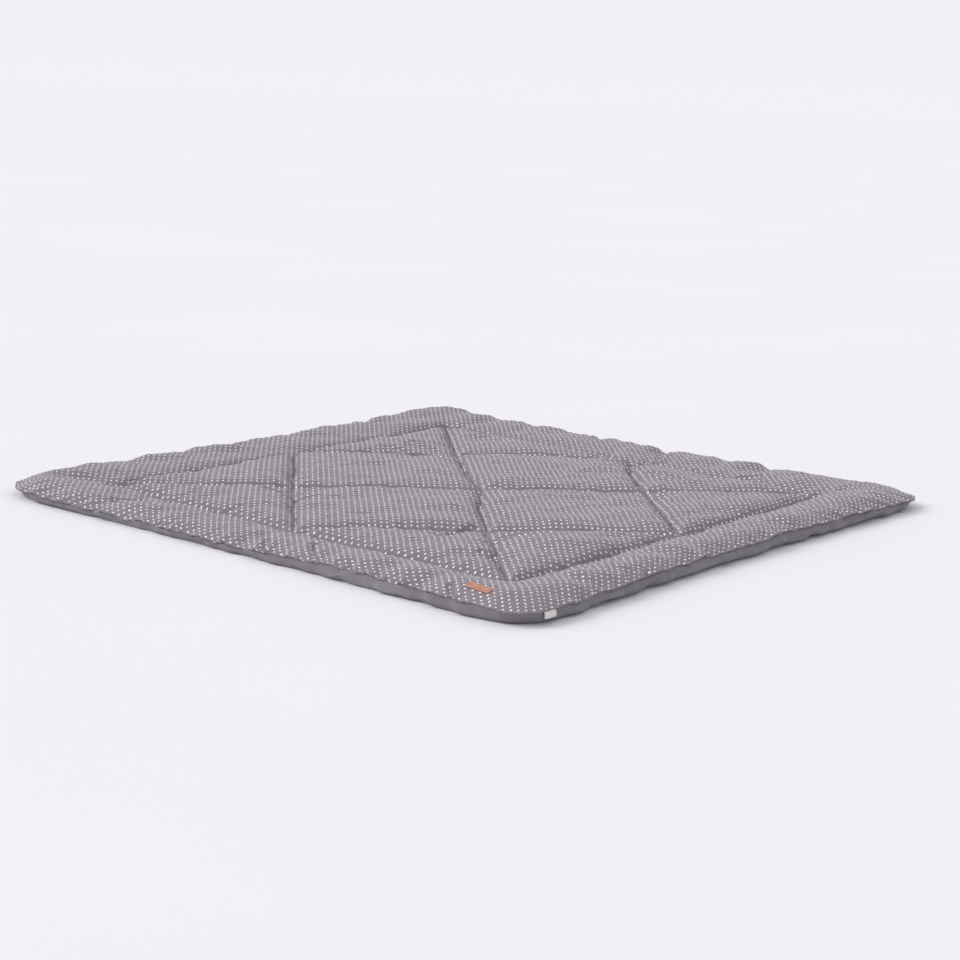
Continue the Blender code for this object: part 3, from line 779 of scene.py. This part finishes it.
seams = loop_lines(CORNERS) + loop_lines(MIDDLES) + [(CORNERS[0], CORNERS[2]), (CORNERS[1], CORNERS[3])]
quilting = stitches("quilting_thread", *stitch_ends(seams), STITCH_RADIUS)
# The grey thread's second colour is its painted shade between the strands
quilting.data.materials.append(thread_material("grey_thread", THREAD_GREY, (0.150, 0.140, 0.150)))
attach(quilting, "root")

# Leather label
# A small bare strip of tan leather near the front corner, stiff enough to lie straight on the border's
# puff, and sewn down with four stitches across each end.
LABEL_AT = (-0.568, -0.491)
LABEL_WIDTH, LABEL_LENGTH, LABEL_THICKNESS = 0.0135, 0.046, 0.0015
LABEL_TURN = math.radians(-3)
LABEL_CORNER = 0.0038
LABEL_RAISE = 0.0002
LABEL_ROUNDING = 0.0004
LABEL_FIT_REACH = 0.002
LABEL_STITCH_INSET, LABEL_STITCH_PITCH, LABEL_STITCH_LENGTH = 0.0028, 0.0022, 0.0015
LEATHER_TAN, LEATHER_PALE, LEATHER_DARK = (0.470, 0.205, 0.135), (0.560, 0.290, 0.205), (0.270, 0.110, 0.075)


def label_plan(along, across):
    """Plan place of a point on the label, given its distances along and across it."""
    turn_x, turn_y = math.cos(LABEL_TURN), math.sin(LABEL_TURN)
    return (LABEL_AT[0] + across * turn_x - along * turn_y, LABEL_AT[1] + across * turn_y + along * turn_x)


def label_seat():
    """The curved plane that the label lies on: height as a square polynomial of the place, fitted to the
    border's points under it and then raised clear of the highest of them. Gives its six factors."""
    points = np.empty(len(top.data.vertices) * 3)
    top.data.vertices.foreach_get("co", points)
    points = points.reshape(-1, 3)
    step = points[:, :2] - LABEL_AT
    under = (abs(step[:, 0]) < LABEL_WIDTH / 2 + LABEL_FIT_REACH) & (abs(step[:, 1]) < LABEL_LENGTH / 2)
    under &= points[:, 2] > CHANNEL_TOP
    terms = seat_terms(step[under, 0], step[under, 1])
    factors = np.linalg.lstsq(terms, points[under, 2], rcond=None)[0]
    footprint = abs(step[under, 0]) < LABEL_WIDTH / 2
    factors[0] += np.max((points[under, 2] - terms @ factors)[footprint])
    return factors


def seat_terms(x, y):
    """The six terms of a square polynomial in x and y, side by side."""
    return np.stack([np.ones_like(x), x, y, x * x, x * y, y * y], axis=-1)


def leather_label(seat):
    """The label's face as a grid, narrower towards its ends by the circles of its corners, on its seat.
    Solidify gives it its thickness and Bevel its worn edges."""
    along = np.linspace(-1, 1, 41)
    ease = np.sin(along * math.pi / 2) * LABEL_LENGTH / 2
    from_end = LABEL_LENGTH / 2 - abs(ease)
    missing = np.clip(LABEL_CORNER - from_end, 0, None)
    half_width = LABEL_WIDTH / 2 - LABEL_CORNER + np.sqrt(LABEL_CORNER**2 - missing**2)
    across = np.linspace(-1, 1, 13)
    x, y = label_plan(ease[:, None] + 0 * across, half_width[:, None] * across)
    z = seat_terms(x - LABEL_AT[0], y - LABEL_AT[1]) @ seat + LABEL_RAISE
    number = np.arange(x.size).reshape(x.shape)
    squares = np.stack([number[:-1, :-1], number[:-1, 1:], number[1:, 1:], number[1:, :-1]], axis=-1)
    mesh = bpy.data.meshes.new("leather_label_strip")
    mesh.from_pydata(np.stack([x, y, z], axis=-1).reshape(-1, 3).tolist(), [],
                     squares.reshape(-1, 4).tolist())
    mesh.shade_smooth()
    obj = bpy.data.objects.new("leather_label_strip", mesh)
    bpy.context.scene.collection.objects.link(obj)
    skin = obj.modifiers.new("thickness", "SOLIDIFY")
    skin.thickness = LABEL_THICKNESS
    skin.offset = 1.0
    worn = obj.modifiers.new("worn edge", "BEVEL")
    worn.width = LABEL_ROUNDING
    worn.segments = 3
    worn.limit_method = "ANGLE"
    worn.angle_limit = math.radians(50)
    return obj


def leather():
    """Tan leather: cells of fine grain raise it, and its dye drifts from tan to pale and darkens in the
    grain's furrows."""
    made = bpy.data.materials.new("tan_leather")
    made.use_nodes = True
    tree = made.node_tree
    shader = tree.nodes["Principled BSDF"]
    place = put(tree, "ShaderNodeTexCoord").outputs["Object"]
    grain = put(tree, "ShaderNodeTexVoronoi", {"Vector": place, "Scale": 1100.0}, feature="DISTANCE_TO_EDGE")
    slow = put(tree, "ShaderNodeGroup", {"Cloth": place, "Patches per metre": 120.0}, node_tree=drift)
    ground = mixed(tree, slow.outputs["Drift"], LEATHER_TAN, LEATHER_PALE)
    furrow = put(tree, "ShaderNodeMapRange", {
        "Value": grain.outputs["Distance"], "From Min": 0.0, "From Max": 0.12, "To Min": 0.45, "To Max": 0.0})
    tree.links.new(mixed(tree, furrow.outputs["Result"], ground, LEATHER_DARK), shader.inputs["Base Color"])
    raised = put(tree, "ShaderNodeBump", {
        "Height": grain.outputs["Distance"], "Strength": 0.5, "Distance": 0.0002})
    tree.links.new(raised.outputs["Normal"], shader.inputs["Normal"])
    tree.links.new(maths(tree, "MULTIPLY_ADD", slow.outputs["Drift"], 0.12, 0.50), shader.inputs["Roughness"])
    return made


def label_stitch_ends(seat):
    """Both ends of the label's stitches: a short row across each end of the strip, on its upper face."""
    row = (np.arange(4) - 1.5) * LABEL_STITCH_PITCH
    across = np.tile(row, 2)
    along = np.repeat([-1, 1], 4) * (LABEL_LENGTH / 2 - LABEL_STITCH_INSET)
    ends = []
    for sign in (-1, 1):
        x, y = label_plan(along, across + sign * LABEL_STITCH_LENGTH / 2)
        z = seat_terms(x - LABEL_AT[0], y - LABEL_AT[1]) @ seat + LABEL_RAISE + LABEL_THICKNESS
        ends.append(np.stack([x, y, z], axis=-1))
    return ends


seat = label_seat()
label = leather_label(seat)
label.data.materials.append(leather())
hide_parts("leather_label")
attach(label, "root")
label_thread = stitches("label_thread", *label_stitch_ends(seat), 0.00030)
# The tan thread's second colour is its painted shade between the strands
label_thread.data.materials.append(thread_material("tan_thread", (0.360, 0.170, 0.115), (0.230, 0.100, 0.070)))
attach(label_thread, "root")

# Ribbon tag
# A short piece of off-white satin ribbon, folded in two, with its ends caught in the edge seam. It hangs
# down the side to just off the floor, and carries no printing.
TAG_WIDTH = 0.025
TAG_LAYER = 0.00034
TAG_OPEN = 0.0004
TAG_COLUMNS, TAG_ROWS, TAG_FOLD_STEPS = 14, 14, 6
# Its line down the side. Columns: distance in from the outline, distance below the edge seam
TAG_LINE = [(0.0036, 0.0002), (0.0024, 0.0016), (0.0018, 0.0038), (0.0014, 0.0066), (0.0013, 0.0096)]
RIBBON_WHITE, RIBBON_SHADE = (0.780, 0.750, 0.690), (0.560, 0.530, 0.470)


def ribbon_tag():
    """The ribbon's middle surface: down the line on the outer layer, half round the fold, and up again on
    the inner one, drawn for each place across its width and set along the mat's side."""
    line = np.array(TAG_LINE)
    share = np.linspace(0, 1, TAG_ROWS + 1)
    stops = np.linspace(0, 1, len(line))
    inset, below = np.interp(share, stops, line[:, 0]), np.interp(share, stops, line[:, 1])
    apart = TAG_OPEN * np.sqrt(share)
    turn = np.linspace(0, math.pi, TAG_FOLD_STEPS + 1)[1:-1]
    fold_inset = inset[-1] - apart[-1] * np.cos(turn)
    fold_below = below[-1] + apart[-1] * np.sin(turn)
    path_inset = np.concatenate([inset - apart, fold_inset, (inset + apart)[::-1]])
    path_below = np.concatenate([below, fold_below, below[::-1]])
    along = TAG_AT + np.linspace(-0.5, 0.5, TAG_COLUMNS + 1) * TAG_WIDTH
    bow = 0.0005 * np.cos((along - TAG_AT) / TAG_WIDTH * math.pi)


    side_x = np.maximum(-along - (HALF - CORNER_RADIUS), 0)
    inward_y = HALF - CORNER_RADIUS + np.sqrt(CORNER_RADIUS**2 - side_x**2)
    x = along[:, None] + 0 * path_inset
    y = -(inward_y[:, None] - path_inset + bow[:, None] * (path_below / path_below.max()))
    drawn_x, drawn_y = draw_sides_in(x, y)
    z = edge_seam_height(x, y) - path_below
    number = np.arange(x.size).reshape(x.shape)
    squares = np.stack([number[:-1, :-1], number[:-1, 1:], number[1:, 1:], number[1:, :-1]], axis=-1)
    mesh = bpy.data.meshes.new("ribbon_tag_loop")
    mesh.from_pydata(np.stack([drawn_x, drawn_y, z], axis=-1).reshape(-1, 3).tolist(), [],
                     squares.reshape(-1, 4).tolist())
    mesh.shade_smooth()
    obj = bpy.data.objects.new("ribbon_tag_loop", mesh)
    bpy.context.scene.collection.objects.link(obj)
    satin = obj.modifiers.new("thickness", "SOLIDIFY")
    satin.thickness = TAG_LAYER
    satin.offset = 0.0
    return obj


def ribbon():
    """Off-white satin: fine ribs run down the ribbon as a wave along its width, which shades and raises it."""
    made = bpy.data.materials.new("white_ribbon")
    made.use_nodes = True
    tree = made.node_tree
    shader = tree.nodes["Principled BSDF"]
    place = put(tree, "ShaderNodeTexCoord").outputs["Object"]
    ribs = put(tree, "ShaderNodeTexWave", {
        "Vector": place, "Scale": 900.0, "Distortion": 0.6, "Detail": 2.0}, bands_direction="X")
    soil = put(tree, "ShaderNodeGroup", {"Cloth": place, "Patches per metre": 150.0}, node_tree=drift)
    shade = maths(tree, "MULTIPLY_ADD", ribs.outputs["Fac"], -0.25,
                  maths(tree, "MULTIPLY_ADD", soil.outputs["Drift"], 0.25, 0.25))
    tree.links.new(mixed(tree, shade, RIBBON_WHITE, RIBBON_SHADE), shader.inputs["Base Color"])
    raised = put(tree, "ShaderNodeBump", {
        "Height": ribs.outputs["Fac"], "Strength": 0.3, "Distance": 0.0001})
    tree.links.new(raised.outputs["Normal"], shader.inputs["Normal"])
    tree.links.new(maths(tree, "MULTIPLY_ADD", soil.outputs["Drift"], 0.1, 0.45), shader.inputs["Roughness"])
    return made


tag = ribbon_tag()
tag.data.materials.append(ribbon())
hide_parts("ribbon_tag")
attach(tag, "root")

# Studio
# A pale floor that runs out to a pale sky, a large soft light behind the mat on the left, and the camera low
# off its front corner.
FLOOR_HEIGHT = -0.0005
FLOOR_REACH = 60.0
FLOOR_WHITE, FLOOR_SHADE = (0.868, 0.858, 0.890), (0.855, 0.846, 0.880)
SKY_LOW, SKY_HIGH = (0.885, 0.877, 0.920), (0.720, 0.715, 0.745)
SKY_TURNS_AT = 0.60
LIGHT_FROM, LIGHT_STRENGTH, LIGHT_SPREAD = (-0.62, 0.62, 0.62), 1.60, math.radians(35)
LIGHT_COLOUR = (1.000, 0.985, 0.970)
CAMERA_AT = (-2.5932, -2.1443, 0.7382)
CAMERA_HEADING, CAMERA_DIP, CAMERA_ROLL = 0.8845, 0.2055, 0.0361
CAMERA_LENS = 71.40


def studio_floor():
    """The floor: one large square at the height of the mat's underside."""
    corners = np.array([(-1, -1), (1, -1), (1, 1), (-1, 1)]) * FLOOR_REACH
    points = np.column_stack([corners, np.full(4, FLOOR_HEIGHT)])
    mesh = bpy.data.meshes.new("studio_floor")
    mesh.from_pydata(points.tolist(), [], [(0, 1, 2, 3)])
    obj = bpy.data.objects.new("studio_floor", mesh)
    bpy.context.scene.collection.objects.link(obj)
    return obj


def floor_paper():
    """Matt white paper, faintly uneven."""
    made = bpy.data.materials.new("floor_paper")
    made.use_nodes = True
    tree = made.node_tree
    shader = tree.nodes["Principled BSDF"]
    place = put(tree, "ShaderNodeTexCoord").outputs["Object"]
    slow = put(tree, "ShaderNodeGroup", {"Cloth": place, "Patches per metre": 0.8}, node_tree=drift)
    tree.links.new(mixed(tree, slow.outputs["Drift"], FLOOR_WHITE, FLOOR_SHADE), shader.inputs["Base Color"])
    shader.inputs["Roughness"].default_value = 0.95
    shader.inputs["Specular IOR Level"].default_value = 0.0
    return made


def light_studio():
    """A sky that is palest at its foot, and one broad far light."""
    world = bpy.data.worlds.new("studio")
    bpy.context.scene.world = world
    world.use_nodes = True
    tree = world.node_tree
    way = put(tree, "ShaderNodeSeparateXYZ", {0: put(tree, "ShaderNodeTexCoord").outputs["Generated"]})
    up = put(tree, "ShaderNodeMapRange", {"Value": way.outputs["Z"], "From Max": SKY_TURNS_AT})
    tree.links.new(mixed(tree, up.outputs["Result"], SKY_LOW, SKY_HIGH), tree.nodes["Background"].inputs["Color"])
    lamp = bpy.data.lights.new("soft_light", "SUN")
    lamp.energy = LIGHT_STRENGTH
    lamp.angle = LIGHT_SPREAD
    lamp.color = LIGHT_COLOUR
    obj = bpy.data.objects.new("soft_light", lamp)
    obj.location = LIGHT_FROM
    obj.rotation_mode = "QUATERNION"
    obj.rotation_quaternion = (-obj.location).to_track_quat("-Z", "Y")
    bpy.context.scene.collection.objects.link(obj)


def aim_camera():
    """The camera from its heading, its dip below level and its roll: its right, up and back ways are the
    columns of its matrix."""
    level = np.array([math.cos(CAMERA_HEADING), -math.sin(CAMERA_HEADING), 0])
    ahead = np.array([math.sin(CAMERA_HEADING), math.cos(CAMERA_HEADING), 0])
    forward = ahead * math.cos(CAMERA_DIP) - np.array([0, 0, math.sin(CAMERA_DIP)])
    upright = ahead * math.sin(CAMERA_DIP) + np.array([0, 0, math.cos(CAMERA_DIP)])
    right = level * math.cos(CAMERA_ROLL) + upright * math.sin(CAMERA_ROLL)
    up = upright * math.cos(CAMERA_ROLL) - level * math.sin(CAMERA_ROLL)
    data = bpy.data.cameras.new("camera")
    data.lens = CAMERA_LENS
    data.sensor_width = 36.0
    camera = bpy.data.objects.new("camera", data)
    turned = np.eye(4)
    turned[:3, 0], turned[:3, 1], turned[:3, 2], turned[:3, 3] = right, up, -forward, CAMERA_AT
    camera.matrix_world = Matrix(turned.tolist())
    bpy.context.scene.collection.objects.link(camera)
    bpy.context.scene.camera = camera


floor = studio_floor()
floor.data.materials.append(floor_paper())
light_studio()
aim_camera()
bpy.context.scene.view_settings.view_transform = "Standard"
